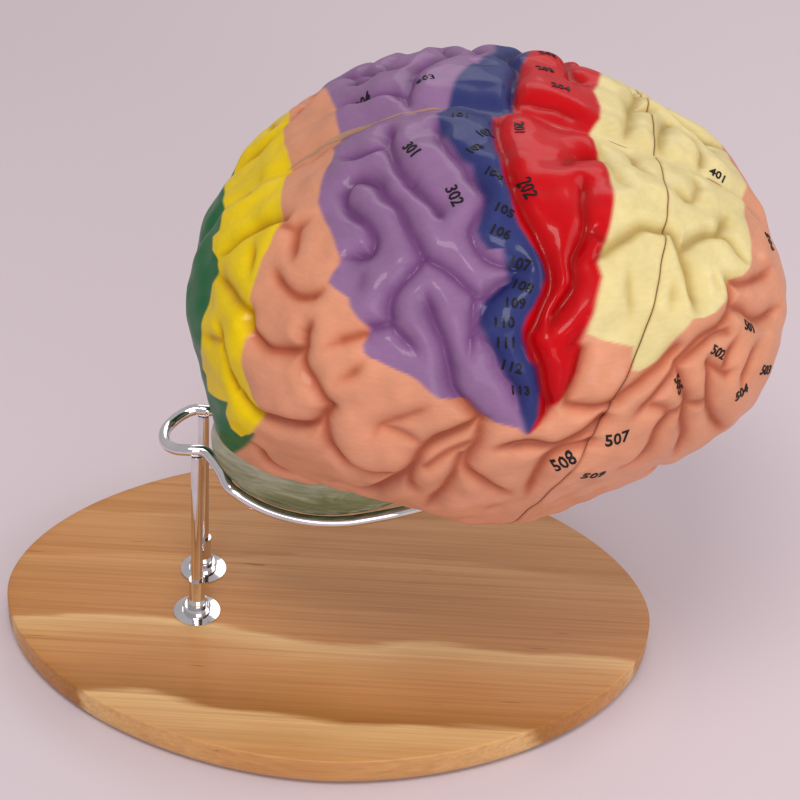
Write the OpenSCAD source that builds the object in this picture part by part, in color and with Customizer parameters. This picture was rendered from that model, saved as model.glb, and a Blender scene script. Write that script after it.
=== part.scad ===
// Giant painted brain model on a chromed saddle stand and an oval wooden board.
// Millimetres, +Z up, the brain's front to +X, its right side to -Y.
// The origin is the middle of the board's underside.

/* [Board] */
// Length of the oval board
board_length = 380; // [340:5:460]
// Width of the oval board
board_width = 268; // [220:4:320]
// Thickness of the board
board_thick = 19; // [15:1:30]
// Roundness of the oval: 2 is an ellipse, less is more pointed
board_power = 1.85; // [1.7:0.05:2.2]
// Chamfer on the board's top edge
board_chamfer = 1; // [0.5:0.5:2]
// Radius of the board's rounded lower edge
board_under_r = 7; // [3:1:9]

/* [Stand] */
// Diameter of the chromed rod
rod_d = 6.4; // [5:0.2:8]
// Distance of the two legs behind the cerebellum's rear end
leg_behind = 9; // [8:1:14]
// Distance between the two legs' centre lines
leg_spread = 38; // [30:2:50]
// Height of the legs' upper ends above the board's underside
leg_height = 133; // [120:1:150]
// Diameter of the flange washers
flange_d = 27; // [22:1:32]
// Thickness of the flange washers
flange_thick = 1.6; // [1:0.2:3]
// Diameter of the collar nuts at their foot
collar_d = 16; // [13:1:20]
// Height of the collar nuts
collar_high = 9; // [6:1:12]
// Outer diameter of the leg sleeves
sleeve_d = 9; // [8.6:0.2:11]
// Length of the leg sleeves
sleeve_long = 14; // [8:1:24]

/* [Clamps under the board] */
// Diameter of the counterbores
counterbore_d = 19; // [17:1:24]
// Depth of the counterbores
counterbore_deep = 9; // [7:1:11]
// Diameter of the underside washers
under_washer_d = 17; // [14:1:18]
// Thickness of the underside washers
under_washer_thick = 1.2; // [0.8:0.2:2]
// Width of the underside nuts across their corners
under_nut_d = 12; // [11:1:14]
// Height of the underside nuts
under_nut_high = 5; // [4:0.5:6]

/* [Brain] */
// Place of the brain's middle in front of the board's middle
brain_x = 68; // [60:1:80]
// Height of the brain's middle above the top of the loop's rod at the legs
brain_above = 118.1; // [116:0.1:126]
// Reach of the brain in front of its middle
brain_front = 160; // [150:1:175]
// Reach of the brain behind its middle
brain_back = 166; // [155:1:175]
// Half width of the brain
brain_half_width = 145; // [130:1:155]
// Height of the brain above its middle
brain_up = 100; // [90:1:110]
// Depth of the brain below its middle, without its lobes
brain_down = 98; // [90:1:100]
// Roundness of the brain's form: 2 is an ellipsoid, more is boxier
brain_power = 2.15; // [2:0.05:2.4]
// Gap between the two halves, and at the crack
section_gap = 0.6; // [0.4:0.1:1]
// Place of the crack plane in front of the brain's middle
crack_x = 58; // [50:1:66]
// Forward lean of the crack plane, in mm for each mm of height
crack_lean = 0.4; // [0.3:0.05:0.5]
// Depth factor of all the carved grooves
carve = 0.8; // [0.5:0.1:1.2]
// Depth of the rounding along the long fissure
fissure_deep = 4; // [3:1:10]
// Width of that rounding
fissure_wide = 9; // [7:1:16]

/* [Cerebellum and brainstem] */
// Place of the cerebellum's middle in front of the board's middle
cerebellum_x = -6; // [-10:1:-2]
// Distance of each half's middle from the midline
cerebellum_y = 30; // [28:1:32]
// Height of the cerebellum's middle above the top of the loop's rod at the legs
cerebellum_above = 16.6; // [16:0.1:18]
// Half length of the cerebellum
cerebellum_long = 62; // [56:1:66]
// Half width of each cerebellum half
cerebellum_wide = 35; // [32:1:38]
// Half height of the cerebellum
cerebellum_high = 43; // [40:1:46]
// Height, above the top of that rod, of the sloping seat under the brain's rear at its rear end
tent_above = 63; // [62:1:65]
// Fall of that seat for each mm forward
tent_fall = 0.42; // [0.36:0.02:0.46]
// Diameter of the brainstem at its swelling
stem_d = 30; // [26:1:32]
// Distance of the brainstem's middle behind the cerebellum's front end
stem_inset = 1; // [0:1:4]
// Length of the brainstem
stem_long = 60; // [54:1:64]
// Depth of the brainstem's lower end below the top of the loop's rod at the legs
stem_below = 28; // [26:1:32]

/* [Pins] */
// Diameter of the pins that carry a frontal section
front_pin_d = 8; // [6:1:10]
// Length of those pins
front_pin_long = 44; // [36:2:50]
// Diameter of the pins across the midline
mid_pin_d = 8; // [6:1:10]
// Length of the pins across the midline
mid_pin_long = 40; // [30:2:50]
// Diameter of the upright pins in the cerebellum
small_pin_d = 6; // [5:1:8]
// Length of the upright pins
small_pin_long = 24; // [18:2:28]
// Radial clearance of a pin that slides
pin_clearance = 0.08; // [0.05:0.01:0.1]

/* [Hidden] */

RIGHT = -1;
LEFT = 1;
seat_clearance = 0.3;
// The loop's centre line rests this high on the legs, and all that it carries goes with it
loop_level = leg_height + rod_d / 2 + seat_clearance;
seat_level = loop_level + rod_d / 2;
leg_x = cerebellum_x - cerebellum_long - leg_behind;
brain_z = seat_level + brain_above;
cerebellum_z = seat_level + cerebellum_above;
tent_x = brain_x - brain_back;
tent_z = seat_level + tent_above;
stem_x = cerebellum_x + cerebellum_long - stem_inset;
stem_low = seat_level - stem_below;
stem_top = stem_low + stem_long;
leg_clearance = 0.05;
pin_play = 0.02;
round_fn = 64;

// Swellings of the brain's form: angle from the front, angle from the top, spread, height
LOBES = [
    [82, 146, 26, 25],
    [35, 155, 20, -4],
    [28, 110, 18, 5],
    [125, 135, 26, 10],
    [136, 146, 14, 20],
    [152, 40, 32, -22],
    [46, 19, 29, -10],
    [87, 4, 29, -4]
];

// Grooves that both halves share: depth, half width, then points as
// angle from the front and angle from the top, in degrees
GROOVES = [
    [7, 8, [[103, 27], [100, 32], [98, 35], [97, 40]]],
    [7, 8, [[115, 50], [113, 49], [110, 48], [109, 46], [109, 43], [111, 39], [114, 36], [117, 32],
        [117, 27], [114, 24], [110, 26], [108, 30], [105, 34], [103, 40], [101, 45], [100, 48]]],
    [6, 8, [[100, 48], [96, 51], [93, 55], [91, 57], [89, 54], [87, 52]]],
    [6, 8, [[100, 48], [101, 51], [104, 57], [105, 62], [105, 66], [108, 68]]],
    [5, 7, [[105, 66], [102, 70], [99, 74]]],
    [8, 8, [[99, 57], [98, 63], [96, 70], [95, 76], [94, 82], [92, 86], [90, 90]]],
    [6, 7, [[92, 57], [92, 62], [92, 68], [92, 73]]],
    [6, 8, [[110, 53], [110, 58]]],
    [7, 8, [[87, 27], [86, 33], [84, 39], [82, 45], [81, 50], [81, 54], [82, 58], [83, 63], [84, 67],
        [83, 71], [82, 75], [81, 81], [80, 86], [81, 91]]],
    [6, 8, [[74, 22], [75, 31], [75, 39], [77, 46], [77, 53], [80, 61], [81, 66]]],
    [4, 7, [[75, 38], [71, 41]]],
    [4, 7, [[79, 71], [76, 67], [75, 63]]],
    [5, 7, [[93, 26], [91, 32], [92, 37], [93, 41], [92, 45], [90, 48], [88, 49], [84, 50]]],
    [4, 7, [[88, 54], [90, 58], [91, 63], [91, 67], [89, 71], [88, 76], [86, 80], [85, 84], [84, 88]]],
    [6, 8, [[74, 47], [71, 43], [67, 39], [63, 35], [59, 35], [56, 35], [54, 40], [50, 36], [45, 32],
        [41, 30], [38, 20]]],
    [5, 7, [[41, 30], [38, 34], [36, 38], [34, 43]]],
    [6, 8, [[54, 40], [53, 49], [53, 56], [53, 62]]],
    [3, 9, [[67, 47], [67, 55], [67, 62]]],
    [3, 9, [[57, 50], [59, 61]]],
    [4, 9, [[47, 48], [46, 55]]],
    [4, 7, [[133, 39], [129, 40], [124, 38]]],
    [5, 7, [[129, 40], [128, 47], [126, 53]]],
    [6, 8, [[132, 55], [129, 60], [125, 63], [120, 62], [117, 59]]],
    [7, 8, [[137, 76], [135, 82], [130, 84], [125, 82], [121, 79], [121, 74], [119, 69]]],
    [6, 8, [[121, 79], [120, 84], [117, 88], [114, 93]]],
    [7, 8, [[134, 110], [129, 111], [123, 107], [117, 102], [115, 97], [114, 93]]],
    [6, 8, [[115, 97], [114, 103], [112, 111], [109, 116], [105, 117], [101, 115]]],
    [5, 7, [[116, 76], [113, 73], [109, 70]]],
    [4, 7, [[113, 85], [110, 81], [108, 77]]],
    [3, 7, [[106, 101], [105, 96], [102, 92], [99, 89], [97, 86]]],
    [3, 7, [[104, 96], [100, 97], [98, 99]]],
    [7, 8, [[111, 133], [105, 130], [102, 121], [99, 110], [98, 103], [96, 98], [93, 94], [90, 90]]],
    [5, 7, [[99, 110], [99, 118], [97, 124]]],
    [6, 8, [[90, 90], [90, 97], [91, 103], [91, 108], [89, 113], [87, 116], [84, 118]]],
    [4, 7, [[97, 108], [94, 102], [91, 98]]],
    [5, 7, [[96, 133], [94, 123], [93, 113], [92, 103]]],
    [4, 7, [[88, 130], [86, 125]]],
    [7, 8, [[88, 98], [86, 98], [83, 97], [78, 98], [74, 95], [70, 90]]],
    [5, 7, [[75, 70], [76, 77], [77, 84], [76, 86], [72, 87], [69, 86]]],
    [6, 8, [[82, 121], [81, 114], [80, 106], [78, 100], [72, 97]]],
    [5, 7, [[68, 85], [66, 82], [61, 77], [56, 71]]],
    [5, 7, [[65, 91], [62, 87], [59, 82], [56, 77], [51, 72], [47, 69], [43, 69]]],
    [4, 7, [[61, 88], [58, 90], [57, 92], [54, 91]]],
    [5, 7, [[57, 93], [59, 99], [60, 106], [62, 111], [66, 115]]],
    [6, 8, [[56, 77], [55, 81], [54, 86], [53, 90], [53, 96], [52, 106], [53, 119]]],
    [6, 8, [[48, 79], [47, 91], [45, 104], [42, 117]]],
    [5, 7, [[48, 79], [45, 83], [42, 87]]],
    [5, 7, [[43, 83], [42, 77], [40, 71]]],
    [5, 8, [[38, 98], [37, 92], [35, 85], [32, 79]]],
    [5, 8, [[42, 50], [37, 51], [31, 49], [26, 46], [22, 41]]],
    [5, 8, [[42, 60], [37, 62], [33, 67], [28, 70], [20, 68]]],
    [5, 7, [[42, 50], [42, 60], [45, 66], [51, 69], [56, 76]]],
    [4, 7, [[53, 91], [48, 93]]],
    [5, 8, [[133, 36], [140, 35], [147, 37], [153, 46], [159, 58]]],
    [4, 7, [[143, 45], [141, 53], [139, 61]]],
    [5, 8, [[156, 69], [150, 70], [142, 73], [137, 75]]],
    [5, 8, [[147, 87], [143, 96], [140, 104], [136, 109]]],
    [4, 7, [[152, 106], [145, 95]]],
    [5, 8, [[128, 128], [120, 140], [105, 148], [90, 150], [78, 148]]],
    [5, 8, [[60, 125], [50, 140], [38, 150]]]
];

// Grooves near the top of the right half only
RIGHT_TOP = [
    [7, 8, [[108, 5], [108, 13], [106, 21], [103, 27]]],
    [7, 8, [[88, 1], [89, 6], [88, 17], [87, 27]]],
    [5, 7, [[99, 6], [98, 15], [95, 21], [93, 26]]],
    [5, 7, [[121, 14], [117, 15], [113, 16], [109, 15]]],
    [5, 7, [[61, 1], [60, 7], [60, 11], [57, 14]]],
    [3, 9, [[68, 3], [67, 14], [66, 21], [64, 24]]],
    [4, 7, [[45, 5], [45, 12], [48, 20], [51, 19], [52, 16]]],
    [5, 7, [[78, 20], [76, 15], [73, 12], [69, 11]]],
    [4, 7, [[143, 1], [135, 4], [125, 4]]],
    [4, 8, [[152, 2], [154, 8], [160, 2]]]
];

// Grooves near the top of the left half only
LEFT_TOP = [
    [6, 8, [[106, 6], [108, 9], [114, 12], [120, 16], [122, 12]]],
    [7, 8, [[104, 1], [105, 5], [104, 10], [103, 16], [99, 22], [96, 28], [98, 35]]],
    [5, 7, [[119, 42], [113, 28], [108, 23], [104, 20]]],
    [5, 8, [[93, 20], [90, 18]]],
    [7, 8, [[86, 1], [86, 12], [85, 20], [87, 27]]],
    [5, 7, [[76, 31], [73, 25], [70, 20]]],
    [3, 7, [[85, 4], [78, 5], [71, 4]]],
    [5, 7, [[60, 38], [59, 28], [60, 20], [60, 10], [61, 2]]],
    [4, 7, [[60, 21], [57, 23], [53, 28]]],
    [5, 7, [[52, 1], [52, 10], [51, 20], [49, 24], [45, 22], [43, 18], [41, 11], [42, 1]]],
    [4, 8, [[151, 10], [152, 2]]]
];

// Surface length of one degree on the brain, along it and around it
MM_PER_DEG_ALONG = 2.6;
MM_PER_DEG_AROUND = 2.2;
// Steps of the carved surface around a half, along a rear section and along a frontal one
around_steps = 42;
rear_steps = 48;
front_steps = 18;

// Centre line of the loop's near strand. Its rear bend and leg seats are measured from the
// legs, with the side as a share of a leg's own. Its middle hugs the cerebellum's underside
// at these angles, and its front rises under the brain's base, measured from the brain's
// middle and its lowest height
LOOP_REAR = [[-20, 0, -4], [-18, -0.47, -4], [-12, -0.84, -2], [-5, -1, 0], [4, -1, 0]];
LOOP_BEND = [[10, -1.26, -2.5], [15, -1.63, -5]];
LOOP_HUG = [-52, -44, -36, -28, -20, -12, -4, 4, 12, 20];
loop_out = 30;
LOOP_FRONT = [
    [-34, -46, -25.5], [-16, -45, -19], [2, -43, -12.5], [18, -40, -8], [29, -32, -5.5],
    [35, -22, -4.6], [40, -11, -4], [41, 0, -4]
];
loop_sides = 12;
lobe_reach = 12;

// The lower end of a leg, its clamp and its trim share one centre line
leg_y = leg_spread / 2;
leg_low = counterbore_deep - under_washer_thick - under_nut_high - 1;
collar_top_d = collar_d * 0.7;
collar_foot_high = collar_high * 0.45;

// Pin places, from the brain's middle: frontal ones as side and height
FRONT_PINS = [[45, 40], [60, -20]];
// Midline ones as forward and height
MID_PINS = [[-90, 30], [-20, 50], [10, -40]];
// Upright ones as forward and side, from the board's middle
SMALL_PINS = [[-32, 30], [4, 32]];

function signed_power(a, e) = sign(a) * pow(abs(a), e);
function spread_of(angle, spread) = exp(-pow(angle / spread, 2));
function unit(v) = v / norm(v);
function clamp1(a) = max(-1, min(1, a));
function direction(t, f) = [cos(t), sin(t) * sin(f), sin(t) * cos(f)];

// Extra height of the lobes in one direction, with the mirrored lobes of the other half
function lobe_height(d) = let (
        heights = [for (lobe = LOBES, s = [-1, 1])
            let (c = direction(lobe[0], s * lobe[1]))
            lobe[3] * spread_of(acos(clamp1(d * c)), lobe[2])]
    ) sum(heights);
function sum(list, i = 0) = i >= len(list) ? 0 : list[i] + sum(list, i + 1);

// Smooth form of one half, on its positive side, from the brain's middle
function smooth_form(t, f) = let (
        e = 2 / brain_power,
        along = signed_power(cos(t), e),
        out = pow(sin(t), e),
        p = [
            (along > 0 ? brain_front : brain_back) * along,
            brain_half_width * out * pow(abs(sin(f)), e),
            (cos(f) > 0 ? brain_up : brain_down) * out * signed_power(cos(f), e)
        ],
        d = unit(p)
    ) p + d * lobe_height(d);

// Outward direction of the smooth form, close enough for the carving
function outward(p) = unit([
    p[0] / pow(brain_back, 2), p[1] / pow(brain_half_width, 2), p[2] / pow(brain_up, 2)
]);

// Each groove with the least and greatest of its two angles, widened by its reach
function boxed(groove) = let (
        t = [for (p = groove[2]) p[0]],
        f = [for (p = groove[2]) p[1]],
        reach = groove[1] / MM_PER_DEG_AROUND
    ) [min(t) - reach, max(t) + reach, min(f) - 3 * reach, max(f) + 3 * reach, groove];
function near(box, t, f) = t > box[0] && t < box[1] && f > box[2] && f < box[3];

function segment_distance(p, a, b) = let (
        ab = b - a,
        k = max(0, min(1, (p - a) * ab / max(ab * ab, 0.0001)))
    ) norm(p - a - k * ab);
function groove_depth(groove, t, f) = let (
        scale = [MM_PER_DEG_ALONG, MM_PER_DEG_AROUND * sin(t)],
        here = [t * scale[0], f * scale[1]],
        points = [for (p = groove[2]) [p[0] * scale[0], p[1] * scale[1]]],
        gap = min([for (i = [1:len(points) - 1]) segment_distance(here, points[i - 1], points[i])]),
        share = min(1, gap / groove[1])
    ) groove[0] * pow(1 - share * share, 2);
function carved_depth(boxes, t, f) =
    carve * max([0, for (box = boxes) if (near(box, t, f)) groove_depth(box[4], t, f)]);

// Lowest height that the rear of the brain may reach, from the board's underside
function tent(x) = tent_z - tent_fall * (x - tent_x);
function floor_at(x, y) = max(tent(x), abs(y) < 30 && x < stem_x + 40 ? stem_top : 0);

// A point of the carved surface, from the board's underside
function carved(boxes, t, f) = let (
        p = smooth_form(t, f),
        rounding = fissure_deep * exp(-pow(p[1] / fissure_wide, 2)) * (f < 150 ? 1 : 0),
        q = p - outward(p) * (carved_depth(boxes, t, f) + rounding),
        x = brain_x + q[0],
        y = max(q[1], section_gap / 2),
        z = brain_z + q[2]
    ) [x, y, max(z, floor_at(x, y) + seat_clearance)];

// How far a point lies in front of the crack plane
function ahead(p) = p[0] - brain_x - crack_x - crack_lean * (p[2] - brain_z);
function on_crack(p, side) = [
    brain_x + crack_x + crack_lean * (p[2] - brain_z) + side * section_gap / 2, p[1], p[2]
];
// Angle from the front at which a ray around the brain meets the crack plane, by halving
function crack_angle(f, low = 5, high = 150, steps = 18) = let (mid = (low + high) / 2)
    steps == 0 ? mid
    : ahead(smooth_form(mid, f) + [brain_x, 0, brain_z]) > 0 ? crack_angle(f, mid, high, steps - 1)
    : crack_angle(f, low, mid, steps - 1);

// One section of a half as a closed solid. front says which section; the last ring lies
// on the crack plane, and the first is the pole.
module section(boxes, front, side) {
    rings = front ? front_steps : rear_steps;
    cols = around_steps;
    crack = [for (j = [0:cols]) crack_angle(j * 180 / cols)];
    pole_angle = front ? 0 : 180;
    pole = carved(boxes, front ? 0.01 : 179.99, 90);
    body_points = [for (i = [1:rings], j = [0:cols]) let (
            f = j * 180 / cols,
            t = pole_angle + (crack[j] - pole_angle) * i / rings,
            p = carved(boxes, t, f)
        ) i == rings ? on_crack(p, front ? 1 : -1) : p];
    middle = on_crack([0, brain_half_width * 0.45, brain_z], front ? 1 : -1);
    points = [for (p = concat([pole], body_points, [middle])) [p[0], side * p[1], p[2]]];
    function at(i, j) = 1 + (i - 1) * (cols + 1) + j;
    faces = concat(
        [for (j = [0:cols - 1]) [0, at(1, j), at(1, j + 1)]],
        [[0, at(1, cols), at(1, 0)]],
        [for (i = [1:rings - 1], j = [0:cols - 1]) [at(i, j), at(i + 1, j), at(i + 1, j + 1)]],
        [for (i = [1:rings - 1], j = [0:cols - 1]) [at(i, j), at(i + 1, j + 1), at(i, j + 1)]],
        [for (i = [1:rings - 1]) [at(i, cols), at(i + 1, cols), at(i + 1, 0)]],
        [for (i = [1:rings - 1]) [at(i, cols), at(i + 1, 0), at(i, 0)]],
        [for (j = [0:cols - 1]) [len(points) - 1, at(rings, j + 1), at(rings, j)]],
        [[len(points) - 1, at(rings, 0), at(rings, cols)]]
    );
    flip = (side > 0) != front;
    polyhedron(points, flip ? [for (face = faces) [face[0], face[2], face[1]]] : faces);
}

module front_pin_holes(side, clearance) {
    for (place = FRONT_PINS)
        translate([
            brain_x + crack_x + crack_lean * place[1] - front_pin_long / 2,
            side * place[0], brain_z + place[1]
        ])
            rotate([0, 90, 0])
                cylinder(d = front_pin_d + 2 * clearance, h = front_pin_long, $fn = round_fn);
}

module mid_pins(clearance) {
    for (place = MID_PINS)
        translate([brain_x + place[0], mid_pin_long / 2 + clearance, brain_z + place[1]])
            rotate([90, 0, 0])
                cylinder(
                    d = mid_pin_d + 2 * clearance, h = mid_pin_long + 2 * clearance, $fn = round_fn
                );
}

module small_pins(clearance, sides) {
    for (place = SMALL_PINS, side = sides)
        translate([place[0], side * place[1], tent(place[0]) - small_pin_long / 2 - clearance])
            cylinder(
                d = small_pin_d + 2 * clearance, h = small_pin_long + 2 * clearance, $fn = round_fn
            );
}

module rear_section(side, top) {
    boxes = [for (groove = concat(GROOVES, top)) boxed(groove)];
    difference() {
        section(boxes, false, side);
        front_pin_holes(side, pin_play);
        mid_pins(pin_play);
        small_pins(pin_play, [side]);
    }
}

module frontal_section(side, top) {
    boxes = [for (groove = concat(GROOVES, top)) boxed(groove)];
    difference() {
        section(boxes, true, side);
        front_pin_holes(side, pin_clearance);
    }
}

module right_rear_section() { color("mediumpurple") rear_section(RIGHT, RIGHT_TOP); }
module left_rear_section() { color("mediumpurple") rear_section(LEFT, LEFT_TOP); }
module right_frontal_section() { color("khaki") frontal_section(RIGHT, RIGHT_TOP); }
module left_frontal_section() { color("khaki") frontal_section(LEFT, LEFT_TOP); }

// One half of the cerebellum, an ellipsoid cut by the midline and by the seat above it
module cerebellum_half(side) {
    rings = 20;
    cols = 24;
    reach = 2 * cerebellum_long;
    slope = atan(tent_fall);
    function at(i, j) = 1 + (i - 1) * cols + j % cols;
    points = concat(
        [[cerebellum_long, 0, 0]],
        [for (i = [1:rings - 1], j = [0:cols - 1]) let (t = 180 * i / rings, f = 360 * (j + 0.5) / cols) [
            cerebellum_long * cos(t),
            cerebellum_wide * sin(t) * sin(f),
            cerebellum_high * sin(t) * cos(f)
        ]],
        [[-cerebellum_long, 0, 0]]
    );
    last = len(points) - 1;
    faces = concat(
        [for (j = [0:cols - 1]) [0, at(1, j), at(1, j + 1)]],
        [for (i = [1:rings - 2], j = [0:cols - 1]) [at(i, j), at(i + 1, j), at(i + 1, j + 1)]],
        [for (i = [1:rings - 2], j = [0:cols - 1]) [at(i, j), at(i + 1, j + 1), at(i, j + 1)]],
        [for (j = [0:cols - 1]) [last, at(rings - 1, j + 1), at(rings - 1, j)]]
    );
    difference() {
        translate([cerebellum_x, side * cerebellum_y, cerebellum_z]) polyhedron(points, faces);
        translate([cerebellum_x, -side * reach + side * section_gap / 2, cerebellum_z])
            cube(2 * reach, center = true);
        translate([cerebellum_x, 0, tent(cerebellum_x) - seat_clearance])
            rotate([0, slope, 0])
                translate([0, 0, reach])
                    cube(2 * reach, center = true);
        small_pins(pin_play, [side]);
    }
}

module right_cerebellum() { color("darkseagreen") cerebellum_half(RIGHT); }
module left_cerebellum() { color("darkseagreen") cerebellum_half(LEFT); }

module brainstem() {
    swell_z = stem_low + (stem_top - stem_low) * 0.6;
    color("wheat")
        translate([stem_x, 0, 0])
            rotate_extrude($fn = 96)
                polygon([
                    [0, stem_low], [stem_d * 0.24, stem_low], [stem_d * 0.3, stem_low + 2],
                    [stem_d * 0.34, swell_z - 14], [stem_d * 0.46, swell_z - 9],
                    [stem_d * 0.5, swell_z], [stem_d * 0.46, swell_z + 9],
                    [stem_d * 0.4, stem_top - 8], [stem_d * 0.4, stem_top], [0, stem_top]
                ]);
}

module front_pins(side) {
    color("silver") front_pin_holes(side, 0);
}
module right_frontal_pins() { front_pins(RIGHT); }
module left_frontal_pins() { front_pins(LEFT); }
module midline_pins() { color("silver") mid_pins(0); }
module cerebellum_pins() { color("silver") small_pins(0, [RIGHT, LEFT]); }

// The loop is one closed tube: the near strand, then its mirror image back
module saddle_loop() {
    base_low = brain_z - brain_down - lobe_reach;
    rise = rod_d / 2 + seat_clearance;
    hug = [for (a = LOOP_HUG) let (
            d = [sin(a), -cos(a) * sin(loop_out), -cos(a) * cos(loop_out)],
            n = unit([d[0] / cerebellum_long, d[1] / cerebellum_wide, d[2] / cerebellum_high])
        ) [cerebellum_x, -cerebellum_y, cerebellum_z]
            + [cerebellum_long * d[0], cerebellum_wide * d[1], cerebellum_high * d[2]] + rise * n];
    near_side = concat(
        [for (p = concat(LOOP_REAR, LOOP_BEND)) [leg_x + p[0], p[1] * leg_y, loop_level + p[2]]],
        hug,
        [for (p = LOOP_FRONT) [brain_x + p[0], p[1], base_low + p[2]]]
    );
    far_side = [for (i = [len(near_side) - 2:-1:1]) [near_side[i][0], -near_side[i][1], near_side[i][2]]];
    path = concat(near_side, far_side);
    n = len(path);
    sides = loop_sides;
    function ring(i) = let (
            along = unit(path[(i + 1) % n] - path[(i + n - 1) % n]),
            across = unit(cross(along, [0, 0, 1])),
            up = cross(across, along)
        ) [for (k = [0:sides - 1]) path[i] + rod_d / 2 * (
            across * cos(360 * k / sides) + up * sin(360 * k / sides))];
    points = [for (i = [0:n - 1]) each ring(i)];
    function at(i, k) = (i % n) * sides + k % sides;
    faces = [for (i = [0:n - 1], k = [0:sides - 1], half = [0, 1]) half == 0
        ? [at(i, k), at(i + 1, k + 1), at(i + 1, k)]
        : [at(i, k), at(i, k + 1), at(i + 1, k + 1)]];
    color("lightgray") polyhedron(points, faces);
}

module leg(side) {
    color("lightgray")
        translate([leg_x, side * leg_y, leg_low])
            cylinder(d = rod_d, h = leg_height - leg_low, $fn = round_fn);
}
module right_leg() { leg(RIGHT); }
module left_leg() { leg(LEFT); }

// A round piece on both legs: a profile turned about each leg's centre line
module on_both_legs() {
    for (side = [RIGHT, LEFT]) translate([leg_x, side * leg_y, 0]) children();
}
module turned_ring(outer_d, low, high) {
    rotate_extrude($fn = round_fn)
        translate([rod_d / 2 + leg_clearance, low])
            square([(outer_d - rod_d) / 2 - leg_clearance, high - low]);
}

module flange_washers() {
    inner = rod_d / 2 + leg_clearance;
    color("silver") on_both_legs()
        rotate_extrude($fn = round_fn)
            polygon([
                [inner, board_thick], [flange_d / 2, board_thick],
                [flange_d / 2, board_thick + flange_thick * 0.5],
                [collar_d / 2 + 0.5, board_thick + flange_thick], [inner, board_thick + flange_thick]
            ]);
}

module collar_nuts() {
    inner = rod_d / 2 + leg_clearance;
    low = board_thick + flange_thick;
    color("silver") on_both_legs()
        rotate_extrude($fn = round_fn)
            polygon([
                [inner, low], [collar_d / 2, low], [collar_d / 2, low + collar_foot_high * 0.7],
                [collar_d / 2 - 1, low + collar_foot_high], [collar_top_d / 2, low + collar_foot_high],
                [collar_top_d / 2, low + collar_high - 2], [sleeve_d / 2, low + collar_high],
                [inner, low + collar_high]
            ]);
}

module leg_sleeves() {
    low = board_thick + flange_thick + collar_high;
    color("silver") on_both_legs() turned_ring(sleeve_d, low, low + sleeve_long);
}

module underside_washers() {
    color("silver") on_both_legs()
        turned_ring(under_washer_d, counterbore_deep - under_washer_thick, counterbore_deep);
}

module underside_nuts() {
    top = counterbore_deep - under_washer_thick;
    color("silver") on_both_legs()
        difference() {
            translate([0, 0, top - under_nut_high])
                cylinder(d = under_nut_d, h = under_nut_high, $fn = 6);
            translate([0, 0, top - under_nut_high - 1])
                cylinder(d = rod_d + 2 * leg_clearance, h = under_nut_high + 2, $fn = round_fn);
        }
}

// The oval at a distance inside the board's outline
function oval(inset, steps) = let (e = 2 / board_power)
    [for (i = [0:steps - 1]) let (a = 360 * i / steps) [
        (board_length / 2 - inset) * signed_power(cos(a), e),
        (board_width / 2 - inset) * signed_power(sin(a), e)
    ]];

module wooden_base() {
    steps = 96;
    arc = [for (a = [0:22.5:90]) [board_under_r * (1 - sin(a)), board_under_r * (1 - cos(a))]];
    profile = concat(arc, [[0, board_thick - board_chamfer], [board_chamfer, board_thick]]);
    rings = len(profile);
    points = concat(
        [for (p = profile) each [for (q = oval(p[0], steps)) [q[0], q[1], p[1]]]],
        [[0, 0, 0], [0, 0, board_thick]]
    );
    function at(i, k) = i * steps + k % steps;
    low = rings * steps;
    faces = concat(
        [for (i = [0:rings - 2], k = [0:steps - 1], half = [0, 1]) half == 0
            ? [at(i, k), at(i + 1, k), at(i + 1, k + 1)]
            : [at(i, k), at(i + 1, k + 1), at(i, k + 1)]],
        [for (k = [0:steps - 1]) [low, at(0, k), at(0, k + 1)]],
        [for (k = [0:steps - 1]) [low + 1, at(rings - 1, k + 1), at(rings - 1, k)]]
    );
    color("burlywood")
        difference() {
            polyhedron(points, faces);
            on_both_legs() {
                translate([0, 0, -1])
                    cylinder(d = counterbore_d, h = counterbore_deep + 1, $fn = round_fn);
                cylinder(d = rod_d + 2 * leg_clearance, h = board_thick + 1, $fn = round_fn);
            }
        }
}

wooden_base();
right_leg();
left_leg();
leg_sleeves();
flange_washers();
collar_nuts();
underside_washers();
underside_nuts();
saddle_loop();
right_rear_section();
left_rear_section();
right_frontal_section();
left_frontal_section();
right_cerebellum();
left_cerebellum();
brainstem();
right_frontal_pins();
left_frontal_pins();
midline_pins();
cerebellum_pins();
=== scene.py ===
import math

import bmesh
import bpy
import numpy as np
from mathutils import Matrix, Vector
from mathutils.geometry import delaunay_2d_cdt


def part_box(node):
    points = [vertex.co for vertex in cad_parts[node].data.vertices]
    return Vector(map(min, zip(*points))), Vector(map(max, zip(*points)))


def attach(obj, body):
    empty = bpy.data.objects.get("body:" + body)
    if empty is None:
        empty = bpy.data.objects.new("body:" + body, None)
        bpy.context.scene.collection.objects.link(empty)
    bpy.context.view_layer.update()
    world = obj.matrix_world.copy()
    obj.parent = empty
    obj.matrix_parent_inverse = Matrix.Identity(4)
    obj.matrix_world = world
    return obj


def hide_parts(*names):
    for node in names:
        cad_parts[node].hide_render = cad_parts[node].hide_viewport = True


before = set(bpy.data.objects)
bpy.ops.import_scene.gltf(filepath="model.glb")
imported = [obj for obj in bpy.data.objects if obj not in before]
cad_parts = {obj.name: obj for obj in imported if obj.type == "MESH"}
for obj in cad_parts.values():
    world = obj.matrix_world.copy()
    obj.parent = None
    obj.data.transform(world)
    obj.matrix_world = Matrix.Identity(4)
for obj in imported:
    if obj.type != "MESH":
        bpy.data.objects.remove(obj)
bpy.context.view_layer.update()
MM = 0.001

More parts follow.
